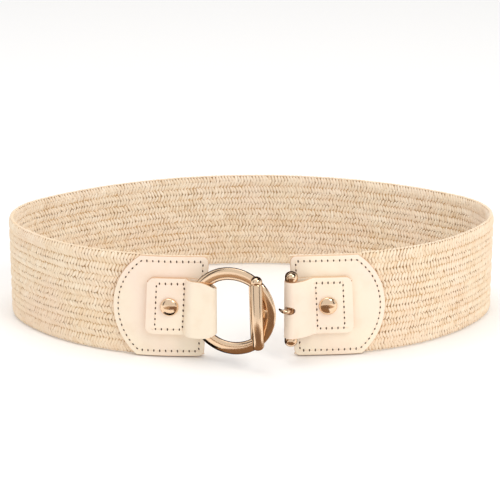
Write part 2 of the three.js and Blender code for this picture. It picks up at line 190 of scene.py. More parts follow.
TABLE_FACING, FRONT_FACING = (0, 0, 1), (0, -1, 0)
reflected_card("tan card before", (-0.005, -0.275, 0.0006), (0.25, 0.29), TABLE_FACING, "B09880")
reflected_card("umber card before", (0.0, -0.23, 0.0012), (0.13, 0.20), TABLE_FACING, "7A6351")
reflected_card("brown card before", (0.01, -0.108, 0.0009), (0.08, 0.045), TABLE_FACING, "866B53")
reflected_card("dark card below", (-0.036, -0.083, 0.0008), (0.075, 0.024), TABLE_FACING, "0C0603")
reflected_card("dark card behind", (-0.0075, -0.0725, 0.031), (0.075, 0.064), FRONT_FACING, "3C2819")
reflected_card("dark card above", (-0.008, -0.075, 0.130), (0.20, 0.134), FRONT_FACING, "1A0F08")
reflected_card("dark card over", (0.21, -0.13, 0.28), (0.18, 0.24), (-0.68, 0.12, -0.72), "140A05")
reflected_card("dark card right", (0.55, -0.50, 0.25), (0.16, 0.6), (-0.7, 0.6, -0.2), "2A1608")
reflected_card("dark card left", (-0.60, -0.45, 0.20), (0.16, 0.6), (0.7, 0.5, -0.2), "2A1608")
print("studio: floor, tent, 2 lamps, 9 cards")

# %% [markdown]
# ## The loop
# Everything on this belt lies on one curve. Seen from above it is three arcs and a straight for each
# half, walked from the middle of the back round to the front. We write that walk once, and then a place
# on the belt is only a side, a length from the middle of the front, a height, and a distance out from the
# braid's crests.

# %% The loop's arcs and a place on it
FRONT_SLOPE = math.radians(2.1)
LOOP_ARCS = [(192.0, math.radians(42.7)), (46.0, math.radians(77.0))]
LOOP_ARCS.append((117.0, math.pi - FRONT_SLOPE - sum(angle for _, angle in LOOP_ARCS)))
BACK_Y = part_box("woven_band")[1][1] / MM


def walk_loop(walked):
    """Place and heading after a walk from the middle of the back, on the right half."""
    x, y, heading, left = 0.0, BACK_Y, 0.0, walked
    for radius, angle in LOOP_ARCS:
        turned = heading + min(left / radius, angle)
        x += radius * (math.sin(turned) - math.sin(heading))
        y += radius * (math.cos(turned) - math.cos(heading))
        left -= radius * (turned - heading)
        heading = turned
        if left <= 1e-9:
            break
    left = max(left, 0.0)
    return x + left * math.cos(heading), y - left * math.sin(heading), heading


ARCS_LENGTH = sum(radius * angle for radius, angle in LOOP_ARCS)
HALF_LENGTH = ARCS_LENGTH + walk_loop(ARCS_LENGTH)[0] / math.cos(FRONT_SLOPE)


def wall_axes(side, along):
    """A place on the crests, with the directions towards the front's middle and outwards."""
    x, y, heading = walk_loop(HALF_LENGTH - along)
    inward = Vector((side * math.cos(heading), -math.sin(heading), 0))
    outward = Vector((side * math.sin(heading), math.cos(heading), 0))
    return Vector((side * x, y, 0)), inward, outward


def wall_place(side, along, out, z):
    """A point on the belt, in millimetres."""
    place, _, outward = wall_axes(side, along)
    return place + outward * out + Vector((0, 0, z))


print("loop length with the buckle:", round(2 * HALF_LENGTH, 1), "mm")

# %% [markdown]
# ## Leaning ends
# The gap between the tabs is wider at the table than at the top, because the elastic pulls each end a
# little askew. Sliding every point along the front, outwards below the buckle and inwards above it, gives
# all the layers of an end the same lean, so they stay in touch. A strap stands straight again where it
# folds round its metal.

# %% Slide a place sideways
BUCKLE_HEIGHT = 31.0
END_LEAN = math.radians(3.2)
LEAN_FADE = (60.0, 110.0)
STRAP_UPRIGHT = (14.0, 2.0)  # before and past its bend


def smooth_step(value, low, high):
    """0 below low, 1 above high, and a soft curve between."""
    if high <= low:
        return float(value > low)
    share = min(max((value - low) / (high - low), 0.0), 1.0)
    return share * share * (3 - 2 * share)


def leaning(point, upright=(0.0, 0.0)):
    """The point moved along the front as far as its height and place ask."""
    if point[1] > 0:  # the back stays as it is
        return Vector(point)
    reach = abs(point[0])
    share = smooth_step(reach, *upright) * (1 - smooth_step(reach, *LEAN_FADE))
    slide = math.tan(END_LEAN) * (BUCKLE_HEIGHT - point[2]) * share
    return Vector((point[0] + math.copysign(1, point[0]) * slide, point[1], point[2]))


# %% [markdown]
# ## Finishing a piece
# Each piece is drawn in millimetres where it belongs. This helper turns it to metres, keeps its object at
# the origin, shades it smooth with sharp edges kept, and makes it ride on the body that carries it.

# %% Piece helper
def finish_piece(name, bm, material, body="belt", sharp=40):
    """An object from a bmesh in millimetres, riding on a body."""
    bmesh.ops.remove_doubles(bm, verts=bm.verts, dist=1e-4)
    bmesh.ops.recalc_face_normals(bm, faces=bm.faces)
    bmesh.ops.scale(bm, vec=(MM, MM, MM), verts=bm.verts)
    mesh = bpy.data.meshes.new(name)
    bm.to_mesh(mesh)
    bm.free()
    mesh.materials.append(material)
    mesh.shade_smooth()
    mesh.set_sharp_from_angle(angle=math.radians(sharp))
    piece = bpy.data.objects.new(name, mesh)
    scene.collection.objects.link(piece)
    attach(piece, body)
    print(name, "faces:", len(mesh.polygons))
    return piece


def apply_modifiers(piece):
    """Keeps the shape that the modifiers give and drops them."""
    shown = piece.evaluated_get(bpy.context.evaluated_depsgraph_get())
    mesh = bpy.data.meshes.new_from_object(shown)
    piece.modifiers.clear()
    piece.data = mesh
    mesh.shade_smooth()
    mesh.set_sharp_from_angle(angle=math.radians(60))


# %% [markdown]
# ## Straw-look yarn
# The band is braided from flat viscose or paper yarn that looks like straw: matt, pale, each float a
# little lighter or darker than the next. Each float carries its own shade as an attribute, so the colour
# follows the weave. Fine fibres run along the yarn at about 0.3 mm, which is too fine to show here, so
# they are drawn at 0.6 mm.

# %% Straw materials
FIBRE_MM = 0.6


def straw(name, dark, light, edge):
    """Braided straw yarn, from a dark and a light shade chosen by each float's own value."""
    material, tree, shader = new_material(
        name, {"Roughness": 0.72, "Specular IOR Level": 0.25, "Sheen Weight": 0.12, "Sheen Roughness": 0.5}
    )
    shade = add_node(tree, "ShaderNodeAttribute", {"attribute_name": "shade"})
    place = add_node(tree, "ShaderNodeTexCoord")
    cloud = add_node(
        tree, "ShaderNodeTexNoise", {"Scale": 1 / (30 * MM), "Detail": 2.0},
        {"Vector": place.outputs["Object"]},
    )
    fibre = add_node(
        tree, "ShaderNodeTexNoise", {"Scale": 1 / (FIBRE_MM * MM), "Detail": 3.0},
        {"Vector": place.outputs["Object"]},
    )
    colour = add_node(
        tree, "ShaderNodeMix", {"data_type": "RGBA", MIX_A: from_hex(dark), MIX_B: from_hex(light)},
        {0: shade.outputs["Fac"]},
    )
    tint = add_node(
        tree, "ShaderNodeMix", {"data_type": "RGBA", MIX_B: from_hex(edge)},
        {MIX_A: colour.outputs[MIX_RESULT]},
    )
    amount = add_node(
        tree, "ShaderNodeMapRange", {"From Min": 0.4, "From Max": 0.75, "To Max": 0.45},
        {"Value": cloud.outputs["Fac"]},
    )
    tree.links.new(amount.outputs["Result"], tint.inputs[0])
    tree.links.new(tint.outputs[MIX_RESULT], shader.inputs["Base Color"])
    bump = add_node(
        tree, "ShaderNodeBump", {"Strength": 0.6, "Distance": 0.2 * MM}, {"Height": fibre.outputs["Fac"]}
    )
    tree.links.new(bump.outputs["Normal"], shader.inputs["Normal"])
    return material


straw_outer = straw("straw yarn outer", "EACBA4", "FCECD4", "F6DCC7")
# painted light: the inside is the same yarn as the outside, drawn lighter so the shaded inside of the loop
# reads brighter
straw_inner_painted_light = straw("straw yarn inner painted lighter", "E8CEAD", "FFF3E0", "F6E1CF")

core_and_gap_shade_material, core_tree, core_shader = new_material(
    "elastic core with painted gap shade", {"Roughness": 0.9, "Specular IOR Level": 0.1}
)
core_place = add_node(core_tree, "ShaderNodeTexCoord")
core_noise = add_node(
    core_tree, "ShaderNodeTexNoise", {"Scale": 1 / (1.2 * MM), "Detail": 2.0},
    {"Vector": core_place.outputs["Object"]},
)
# painted shade: the core is drawn darker than the yarn, partly its own tone and partly the shade between
# floats
core_tone_and_gap_shade = add_node(
    core_tree, "ShaderNodeMix", {"data_type": "RGBA", MIX_A: from_hex("BF9A70"), MIX_B: from_hex("D6B68B")},
    {0: core_noise.outputs["Fac"]},
)
core_tree.links.new(core_tone_and_gap_shade.outputs[MIX_RESULT], core_shader.inputs["Base Color"])
core_bump = add_node(
    core_tree, "ShaderNodeBump", {"Strength": 0.5, "Distance": 0.2 * MM},
    {"Height": core_noise.outputs["Fac"]},
)
core_tree.links.new(core_bump.outputs["Normal"], core_shader.inputs["Normal"])

# %% [markdown]
# ## Scattering small shapes
# A braid has thousands of floats and a seam dozens of stitches. Blender could repeat them with an array
# or with geometry nodes. Here every copy has its own place, lean and shade, so we model one small spindle
# and copy its vertices with one matrix product, which takes a fraction of a second.

# %% Spindle and scatter helpers
def spindle(sides, rings):
    """Vertices and faces of a unit ball, long way up, with few faces."""
    bm = bmesh.new()
    bmesh.ops.create_uvsphere(bm, u_segments=sides, v_segments=rings, radius=1)
    vertices = np.array([vertex.co[:] for vertex in bm.verts])
    faces = [[vertex.index for vertex in face.verts] for face in bm.faces]
    bm.free()
    return vertices, faces


def scatter(name, shape, places, axes, shades, material, slot, body="belt"):
    """One piece made of many copies of a shape, each with its own centre and three scaled axes."""
    vertices, faces = shape
    points = np.asarray(places)[:, None, :] + np.einsum("vj,njk->nvk", vertices, np.asarray(axes))
    count = len(vertices)
    rows = [[index + count * copy for index in face] for copy in range(len(places)) for face in faces]
    mesh = bpy.data.meshes.new(name)
    mesh.from_pydata((points.reshape(-1, 3) * MM).tolist(), [], rows)
    values = np.repeat(np.asarray(shades, dtype=np.float32), count)
    mesh.attributes.new("shade", "FLOAT", "POINT").data.foreach_set("value", values)
    mesh.materials.append(material)
    mesh.shade_smooth()
    piece = bpy.data.objects.new(name, mesh)
    scene.collection.objects.link(piece)
    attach(piece, body)
    print(name, "copies:", len(places), "faces:", len(rows))


# %% [markdown]
# ## The elastic core
# Between the yarns lies the elastic, which shows only as dark specks where two floats part. Its colour is
# darker than the yarn's: partly the elastic's own tone, partly painted shade for the gaps between floats.
# A grid is mapped on the loop and Solidify gives it its thickness, a little less than the band's.

# %% Core
BAND_WIDTH = 60.0
BAND_WALL = 2.8
CORE_WALL = 1.8
CORE_INSET = 1.3  # from the band's edges and ends
CORE_STEPS = (360, 10)  # faces round the loop and up the band
GAPS = {-1: 27.8, 1: 20.3}  # from the front's middle to each end of the band


def side_and_along(walked):
    """The half of the loop and the length on it, for a walk from the left end right round the back."""
    return (-1, walked) if walked < HALF_LENGTH else (1, 2 * HALF_LENGTH - walked)


core_bm = bmesh.new()
bmesh.ops.create_grid(core_bm, x_segments=CORE_STEPS[0], y_segments=CORE_STEPS[1], size=0.5)
core_start = GAPS[-1] + CORE_INSET
core_length = 2 * HALF_LENGTH - sum(GAPS.values()) - 2 * CORE_INSET
for vertex in core_bm.verts:
    side, along = side_and_along(core_start + (vertex.co.x + 0.5) * core_length)
    z = BAND_WIDTH / 2 + vertex.co.y * (BAND_WIDTH - 2 * CORE_INSET)
    vertex.co = leaning(wall_place(side, along, -BAND_WALL / 2, z))
core = finish_piece("elastic_core", core_bm, core_and_gap_shade_material, sharp=180)
core_wall = core.modifiers.new("thickness", "SOLIDIFY")
core_wall.thickness = CORE_WALL * MM
core_wall.offset = 0
apply_modifiers(core)
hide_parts("woven_band")

# %% [markdown]
# ## The braid
# Eight braids lie side by side, each 7.5 mm high with two sub-rows of floats that lean against each
# other, so a braid reads as a row of arrowheads, and dip where two braids meet. A float is about 2 mm
# from the next. The dark dots of the photograph are the gaps between the ends of two floats, where the
# elastic shows. They come and go along a row, because the yarn is packed tighter in some places than in
# others: each sub-row gets a slow wave of tightness, and each float small random changes from a fixed
# seed. A sub-row is walked in one go from the left end round the back, so the loop has no join.

# %% Braid sizes
BRAID_ROWS = 8
ROW_HEIGHT = BAND_WIDTH / BRAID_ROWS
SUB_ROWS = ((0.25, 1), (0.75, -1))  # height as a share of the row, and way of leaning
FLOAT_PITCH = 2.0
FLOAT_HALF_LENGTH = 2.5
FLOAT_HALF_WIDTH = 1.06
FLOAT_HALF_THICK = 0.6
FLOAT_LEVEL = -0.26  # of a float's middle, from the crests
FLOAT_LEAN = math.radians(24)
FLOAT_DIP = 0.15  # slope towards the row's border
FLOAT_END_ROOM = 1.5  # the first and last floats keep this far from the band's ends
FLOAT_EDGE_ROOM = 2.7  # a float's middle keeps this far from the band's edge
WAVE_LENGTH = 26.0  # length of the waves of tight and loose yarn
SWAY_LENGTH = 19.0
SWAY = 0.2  # a row wanders this far up and down
HEIGHT_NOISE = 0.12
LEAN_NOISE = 0.1
SUNK_CHANCE = 0.04  # that a float lies deeper, and how much deeper; a sunk float is also painted this much darker, as painted shade
SUNK_DEPTH = 0.2
FLOAT_SHADE = 0.62  # 0 is the yarn's dark shade and 1 its light one
SHADE_NOISE = 0.09
PITCH_NOISE = 0.04
PAINTED_FOOT_SHADOW = 0.3  # painted shade: the inside is drawn this much darker at the table than at the top
TAB_LENGTH = 53.2
TAB_HEIGHT = 59.4
TAB_TIP_RADIUS = 37.0
TAB_COVER = 3.0  # floats this far inside a tab's tip are left out
TAB_EDGE_COVER = 1.2  # and this far inside its long edges


# %% Braid one face of the band
def under_tab(side, along, z):
    """Whether a leather tab hides this place on the outside of the band."""
    reach = along - GAPS[side]
    if reach > TAB_LENGTH:
        return False
    beyond = max(reach - (TAB_LENGTH - TAB_TIP_RADIUS), 0)
    radius = math.hypot(beyond, z - BAND_WIDTH / 2)
    inside_tip = radius < TAB_TIP_RADIUS - TAB_COVER
    inside_edge = abs(z - BAND_WIDTH / 2) < TAB_HEIGHT / 2 - TAB_EDGE_COVER
    return inside_tip and inside_edge


def braid(name, face, shape, material, seed):
    """Floats over the whole band, as two pieces: face 1 is the outside, -1 the inside."""
    rng = np.random.default_rng(seed)
    level = FLOAT_LEVEL if face > 0 else -BAND_WALL - FLOAT_LEVEL
    up = Vector((0, 0, 1))
    halves = {-1: ([], [], []), 1: ([], [], [])}
    for row in range(BRAID_ROWS):
        row_shade = rng.normal(0, 0.03)
        for share, lean in SUB_ROWS:
            walked = GAPS[-1] + FLOAT_END_ROOM + rng.random() * 0.5 * FLOAT_PITCH
            phase, drift = rng.random() * 2 * math.pi, 0.0
            while walked < 2 * HALF_LENGTH - GAPS[1] - FLOAT_END_ROOM:
                side, along = side_and_along(walked)
                loose = 0.5 + 0.5 * math.sin(2 * math.pi * walked / WAVE_LENGTH + phase)
                sway = SWAY * math.sin(walked / SWAY_LENGTH + row)
                z = (row + share) * ROW_HEIGHT + sway + rng.normal(0, HEIGHT_NOISE)
                z = min(max(z, FLOAT_EDGE_ROOM), BAND_WIDTH - FLOAT_EDGE_ROOM)
                drift = 0.85 * drift + rng.normal(0, 0.04)
                tilt = side * lean * FLOAT_LEAN + rng.normal(0, LEAN_NOISE)
                sunk_and_shaded = SUNK_DEPTH if rng.random() < SUNK_CHANCE else 0.0
                out = level + face * (rng.normal(0, 0.04) - sunk_and_shaded)
                length = FLOAT_HALF_LENGTH * (1.03 - 0.09 * loose + rng.normal(0, 0.03))
                width = FLOAT_HALF_WIDTH * (1.05 - 0.09 * loose + rng.normal(0, 0.05))
                # a sunk float's tone drops by its depth: painted shade in its recess
                shade = FLOAT_SHADE + row_shade + drift + rng.normal(0, SHADE_NOISE) - sunk_and_shaded
                # painted shade: inside floats darken towards the table, where less light reaches
                if face < 0:
                    shade -= PAINTED_FOOT_SHADOW * (1 - z / BAND_WIDTH)
                if face < 0 or not under_tab(side, along, z):
                    place, inward, outward = wall_axes(side, along)
                    long_way = up * math.cos(tilt) + inward * math.sin(tilt)
                    long_way += outward * face * lean * FLOAT_DIP
                    wide_way = inward * math.cos(tilt) - up * math.sin(tilt)
                    places, axes, shades = halves[side]
                    places.append(leaning(place + outward * out + up * z))
                    axes.append((wide_way * width, outward * FLOAT_HALF_THICK, long_way * length))
                    shades.append(min(max(shade, 0), 1))
                walked += FLOAT_PITCH * (1 + rng.normal(0, PITCH_NOISE))
    for side, half_name in ((-1, name + "_left"), (1, name + "_right")):
        scatter(half_name, shape, *halves[side], material, "braided_straw")


FLOAT_SHAPE = spindle(6, 4)
braid("braid_outer", 1, spindle(8, 4), straw_outer, 11)
braid("braid_inner", -1, FLOAT_SHAPE, straw_inner_painted_light, 13)

# %% [markdown]
# ## The band's edges
# The outermost yarn wraps over the band's edge, which gives the pale, smooth rim in the photograph. One
# row of slanting floats on each edge does this. The lower row stays above the table.

# %% Edge yarns
EDGE_PITCH = 2.6
EDGE_HALF = (1.75, 1.0, 0.55)  # along the edge, across the wall, up
EDGE_DROP = 0.55  # the upper yarns lie this much lower beside a tab
EDGE_CLEAR = 13.0  # from the tab's tip to the end of its long edges
EDGE_END_ROOM = 1.2
EDGE_LEAN = math.radians(28)
# painted shade: the edge yarns' tone sits below the floats' so the lit rim doesn't show as a bright line
EDGE_PAINTED_DARKER = 0.55
EDGE_UPPER = BAND_WIDTH - 0.6
EDGE_LOWER = EDGE_HALF[2] + 0.15


def edge_yarn(name, level, seed):
    """Slanting floats along the whole upper or lower edge."""
    rng = np.random.default_rng(seed)
    places, axes, shades = [], [], []
    for side in (-1, 1):
        along = GAPS[side] + EDGE_END_ROOM
        while along < HALF_LENGTH:
            place, inward, outward = wall_axes(side, along)
            tilt = EDGE_LEAN * side + rng.normal(0, 0.06)
            long_way = inward * math.cos(tilt) + outward * math.sin(tilt)
            wide_way = outward * math.cos(tilt) - inward * math.sin(tilt)
            covered = level > BAND_WIDTH / 2 and along - GAPS[side] < TAB_LENGTH - EDGE_CLEAR
            height = level + rng.normal(0, 0.04) - EDGE_DROP * covered
            middle = place - outward * BAND_WALL / 2 + Vector((0, 0, height))
            places.append(leaning(middle))
            axes.append((wide_way * EDGE_HALF[1], Vector((0, 0, EDGE_HALF[2])), long_way * EDGE_HALF[0]))
            shades.append(min(max(EDGE_PAINTED_DARKER + rng.normal(0, 0.12), 0), 1))
            along += EDGE_PITCH * (1 + rng.normal(0, 0.03))
    scatter(name, FLOAT_SHAPE, places, axes, shades, straw_outer, "braided_straw")


edge_yarn("edge_upper", EDGE_UPPER, 21)
edge_yarn("edge_lower", EDGE_LOWER, 22)

# %% [markdown]
# ## Leather
# The tabs and straps are smooth split leather with a pigment finish: cream, a little pink in places,
# softly shining, with a fine grain of about half a millimetre. A low bump gives the grain, and a slow
# noise shifts the cream towards pink and tan. The cut edges are rounded and get a darker material of
# their own: partly the burnish of a leather edge, partly painted shade for edge faces turned from the light.

# %% Leather material
GRAIN_MM = 0.55


def leather(name, base, warm, shade):
    """Pigmented smooth leather in three near shades."""
    material, tree, shader = new_material(
        name, {"Specular IOR Level": 0.42, "Coat Weight": 0.06, "Coat Roughness": 0.35}
    )
    place = add_node(tree, "ShaderNodeTexCoord")
    slow = add_node(
        tree, "ShaderNodeTexNoise", {"Scale": 1 / (38 * MM), "Detail": 1.5},
        {"Vector": place.outputs["Object"]},
    )
    medium = add_node(
        tree, "ShaderNodeTexNoise", {"Scale": 1 / (9 * MM), "Detail": 3.0},
        {"Vector": place.outputs["Object"]},
    )
    grain = add_node(
        tree, "ShaderNodeTexVoronoi", {"Scale": 1 / (GRAIN_MM * MM), "feature": "SMOOTH_F1"},
        {"Vector": place.outputs["Object"]},
    )
    pinks = add_node(
        tree, "ShaderNodeMapRange", {"From Min": 0.42, "From Max": 0.62}, {"Value": slow.outputs["Fac"]}
    )
    first = add_node(
        tree, "ShaderNodeMix", {"data_type": "RGBA", MIX_A: from_hex(base), MIX_B: from_hex(warm)},
        {0: pinks.outputs["Result"]},
    )
    tans = add_node(
        tree, "ShaderNodeMapRange", {"From Min": 0.5, "From Max": 0.8, "To Max": 0.35},
        {"Value": medium.outputs["Fac"]},
    )
    second = add_node(
        tree, "ShaderNodeMix", {"data_type": "RGBA", MIX_B: from_hex(shade)},
        {0: tans.outputs["Result"], MIX_A: first.outputs[MIX_RESULT]},
    )
    gloss = add_node(
        tree, "ShaderNodeMapRange", {"To Min": 0.42, "To Max": 0.56}, {"Value": medium.outputs["Fac"]}
    )
    bump = add_node(
        tree, "ShaderNodeBump", {"Strength": 0.12, "Distance": 0.12 * MM},
        {"Height": grain.outputs["Distance"]},
    )
    tree.links.new(second.outputs[MIX_RESULT], shader.inputs["Base Color"])
    tree.links.new(gloss.outputs["Result"], shader.inputs["Roughness"])
    tree.links.new(bump.outputs["Normal"], shader.inputs["Normal"])
    return material


cream_leather = leather("cream leather", "FBECD5", "FAE5D2", "F0D6B8")
# the edge colours are partly burnish and partly painted shade for the side faces
burnished_and_shaded_edge = leather("burnished leather edge with painted shade", "E2BE99", "DCB592", "CDA27A")

# %% [markdown]
# ## The tabs
# A tab is a flat blank with two small rounded corners and one end cut to a full-height arc. We draw its
# outline flat, give it its thickness, round its edge with a bevel, cut it into narrow strips and then lay
# it on the loop, as the leather is wrapped round the band's end.

# %% Tab outline and blank
TAB_WALL = 1.6
TAB_CORNER = 3.5
SEAT_GAP = 0.3
TAB_SEAT = SEAT_GAP
TAB_FACE = TAB_SEAT + TAB_WALL
TAB_STRIP = 1.5  # length of the strips that bend with the loop
TAB_ROUNDING = 0.55


def tab_outline(inset, step=1.5):
    """Points of the tab's outline, or of a line that runs inside it, as length and height."""
    half = TAB_HEIGHT / 2 - inset
    corner = max(TAB_CORNER - inset, 0.3)
    radius = TAB_TIP_RADIUS - inset
    middle = TAB_LENGTH - TAB_TIP_RADIUS
    tip = math.asin(half / radius)
    upper = [
        (inset + corner * (1 - math.cos(turn)), half - corner * (1 - math.sin(turn)))
        for turn in np.linspace(0, math.pi / 2, 7)
    ]
    tip_points = max(int(radius * tip / step), 6)
    upper += [
        (middle + radius * math.cos(turn), radius * math.sin(turn))
        for turn in np.linspace(tip, 0, tip_points, endpoint=False)
    ]
    lower = [(along, -height) for along, height in reversed(upper)]
    return [(along, BAND_WIDTH / 2 + height) for along, height in upper + [(middle + radius, 0)] + lower]


def lay_on_loop(bm, side, start):
    """Moves a blank drawn as (length, out, height) to its place on one half of the loop."""
    for vertex in bm.verts:
        along, out, z = vertex.co
        vertex.co = leaning(wall_place(side, start + along, out, z))


def make_tab(name, side):
    """A bevelled leather blank laid on the band's end."""
    bm = bmesh.new()
    rim = [bm.verts.new((along, TAB_SEAT, z)) for along, z in tab_outline(0)]
    blank = bm.faces.new(rim)
    raised = bmesh.ops.extrude_face_region(bm, geom=[blank])
    top = [item for item in raised["geom"] if isinstance(item, bmesh.types.BMVert)]
    bmesh.ops.translate(bm, vec=(0, TAB_WALL, 0), verts=top)
    bmesh.ops.recalc_face_normals(bm, faces=bm.faces)
    rims = [edge for edge in bm.edges if edge.calc_face_angle(0) > math.radians(60)]
    bmesh.ops.bevel(
        bm, geom=rims, offset=TAB_ROUNDING, segments=3, profile=0.5, affect="EDGES", material=-1,
        clamp_overlap=True,
    )
    # side and rounded faces take the darker edge material: burnish and painted shade
    for face in bm.faces:
        face.material_index = int(abs(face.normal.y) < 0.8)
    for cut in np.arange(TAB_STRIP, TAB_LENGTH - 0.5, TAB_STRIP):
        geometry = bm.verts[:] + bm.edges[:] + bm.faces[:]
        bmesh.ops.bisect_plane(bm, geom=geometry, plane_co=(cut, 0, 0), plane_no=(1, 0, 0))
    lay_on_loop(bm, side, GAPS[side])
    tab = finish_piece(name + "_leather", bm, cream_leather, sharp=60)
    tab.data.materials.append(burnished_and_shaded_edge)
    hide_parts(name)


make_tab("tab_left", -1)
make_tab("tab_right", 1)

# %% [markdown]
# ## The folded straps
# Each strap is one strip of leather, folded round its metal and sewn down on itself, so from above it
# draws a flat double layer that opens into a loop. We follow the middle of the strip: out along the tab,
# up at the bend, round the fold and back over the metal. The strip becomes a grid whose width follows the
# strap's outline, and Solidify gives it the thickness of the leather.

# %% Strap sizes
STRAP_WALL = 1.3
STRAP_HEIGHT = 33.2
STRAP_CORNER = 3.5
STRAP_SEAT = TAB_FACE + SEAT_GAP
STRAP_FACE = STRAP_SEAT + 2 * STRAP_WALL
RING_OUTER = 51.0
RING_BAND = 7.2
RING_THINNING = 1.5
RING_RISE = 1.0
RING_WALL = 3.4
RING_START = 3.5
PIN_DIAMETER = 4.6
PIN_REACH = 15.0
PIN_ROOM = PIN_DIAMETER + 2 * 0.35
RING_ROOM = RING_WALL + 2 * SEAT_GAP
FOLD_REACH = 16.5
STRAP_GIVE = 0.03  # the leather is drawn this much thinner, so that its layers don't touch
STRAP_ROUNDING = 0.4
STRAP_ACROSS = 16  # faces across the strip
STRAP_END_STEPS = (0, 0.08, 0.3, 0.65, 1.15, 1.8, 2.6, 3.5)  # close together at the rounded corners
STRAPS = {
    "strap_left": {
        "side": -1, "end": 61.0, "bend": 40.0, "lift": math.radians(17.5), "room": RING_ROOM,
        "start": RING_START + RING_BAND / 2,
        "middle": RING_START + FOLD_REACH - STRAP_WALL - RING_ROOM / 2,
        "fold_height": 25.4, "taper": 10.5,
    },
    "strap_right": {
        "side": 1, "end": 54.0, "bend": 32.9, "lift": math.radians(12), "room": PIN_ROOM,
        "start": PIN_REACH, "middle": PIN_REACH, "fold_height": STRAP_HEIGHT, "taper": 10.5,
    },
}


# %% Strap line and width
def lifted_axes(side, bend, lift):
    """Origin, reach and rise directions of a strap's lifted end."""
    _, inward, outward = wall_axes(side, bend)
    reach = inward * math.cos(lift) + outward * math.sin(lift)
    rise = outward * math.cos(lift) - inward * math.sin(lift)
    return wall_place(side, bend, STRAP_SEAT, 0), reach, rise


def bezier(points, count):
    """Points on a cubic curve."""
    shares = np.linspace(0, 1, count)
    rest = 1 - shares
    weights = np.stack([rest**3, 3 * shares * rest**2, 3 * shares**2 * rest, shares**3])
    return [Vector(row) for row in weights.T @ np.array([point[:] for point in points])]


def strap_line(strap):
    """The middle of the leather strip, from its lower end round the fold to its upper end."""
    side, bend = strap["side"], strap["bend"]
    origin, reach, rise = lifted_axes(side, bend, strap["lift"])
    half, room = STRAP_WALL / 2, strap["room"]

    def at(along_reach, height):
        return origin + reach * along_reach + rise * height

    alongs = [strap["end"] - step for step in STRAP_END_STEPS]
    alongs += list(np.linspace(strap["end"] - 5, bend, 12))
    lower = [wall_place(side, along, STRAP_SEAT + half, 0) for along in alongs]
    upper = [wall_place(side, along, STRAP_FACE - half, 0) for along in alongs]
    radius = room / 2 + half
    level = STRAP_WALL + room / 2
    turns = np.linspace(-math.pi / 2, math.pi / 2, 17)
    fold = [at(strap["middle"] + radius * math.cos(t), level + radius * math.sin(t)) for t in turns]
    run = [at(r, half) for r in np.linspace(1.2, strap["middle"], 10)[:-1]]
    back = []
    if strap["middle"] - strap["start"] > 0.5:
        back = [at(r, level + radius) for r in np.linspace(strap["middle"], strap["start"], 7)[1:-1]]
    ramp = bezier(
        (
            upper[-1],
            at(strap["start"] * 0.3, 2 * STRAP_WALL - half + room * 0.12),
            at(strap["start"] * 0.45, level + radius),
            at(strap["start"], level + radius),
        ),
        16,
    )
    return lower + run + fold + back + ramp[::-1][:-1] + upper[::-1]


def strap_half(strap, distance, reach):
    """Half the strap's height at a distance from its sewn end, seen from the front."""
    full = STRAP_HEIGHT / 2
    if distance < STRAP_CORNER:
        short = STRAP_CORNER - max(distance, 0)
        return full - STRAP_CORNER + math.sqrt(max(STRAP_CORNER**2 - short**2, 0))
    share = max((distance - (reach - strap["taper"])) / strap["taper"], 0)
    return full - min(share, 1) ** 2 * (STRAP_HEIGHT - strap["fold_height"]) / 2


# %% Build the straps
def make_strap(name, strap):
    """A strip of leather folded round its metal."""
    line = strap_line(strap)
    end_x = wall_place(strap["side"], strap["end"], STRAP_SEAT, 0).x
    reach = max(abs(point.x - end_x) for point in line) + STRAP_WALL / 2
    upright = (strap["bend"] - STRAP_UPRIGHT[0], strap["bend"] + STRAP_UPRIGHT[1])
    bm = bmesh.new()
    bmesh.ops.create_grid(bm, x_segments=len(line) - 1, y_segments=STRAP_ACROSS, size=0.5)
    for vertex in bm.verts:
        point = line[round((vertex.co.x + 0.5) * (len(line) - 1))]
        half = strap_half(strap, abs(point.x - end_x), reach)
        vertex.co = leaning((point.x, point.y, BUCKLE_HEIGHT + 2 * vertex.co.y * half), upright)
    piece = finish_piece(name + "_leather", bm, cream_leather, sharp=180)
    solid = piece.modifiers.new("leather", "SOLIDIFY")
    solid.thickness = (STRAP_WALL - STRAP_GIVE) * MM
    solid.offset = 0
    # the rim takes the darker edge material: burnish and painted shade
    solid.material_offset_rim = 1
    piece.data.materials.append(burnished_and_shaded_edge)
    round_edge = piece.modifiers.new("burnished edge", "BEVEL")
    round_edge.width = STRAP_ROUNDING * MM
    round_edge.segments = 3
    round_edge.limit_method = "ANGLE"
    round_edge.angle_limit = math.radians(50)
    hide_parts(name)
    return piece


strap_pieces = {name: make_strap(name, strap) for name, strap in STRAPS.items()}
for strap_piece in strap_pieces.values():
    apply_modifiers(strap_piece)

# %% [markdown]
# ## The oval hole
# The prong of the hook comes out through an oval hole at the fold of the right strap. A Boolean with an
# oval cutter opens it, the way a punch does.

# %% Punch the hole
HOLE_WIDTH = 7.0
HOLE_HEIGHT = 4.7
HOOK_ANGLE = math.radians(246)
PUNCH_LENGTH = 8.0
PUNCH_REACH = 5.3  # from the pin's axis to the middle of the punch

right = STRAPS["strap_right"]
pin_origin, pin_reach, pin_rise = lifted_axes(right["side"], right["bend"], right["lift"])
pin_axis = pin_origin + pin_reach * PIN_REACH + pin_rise * (STRAP_WALL + PIN_ROOM / 2)

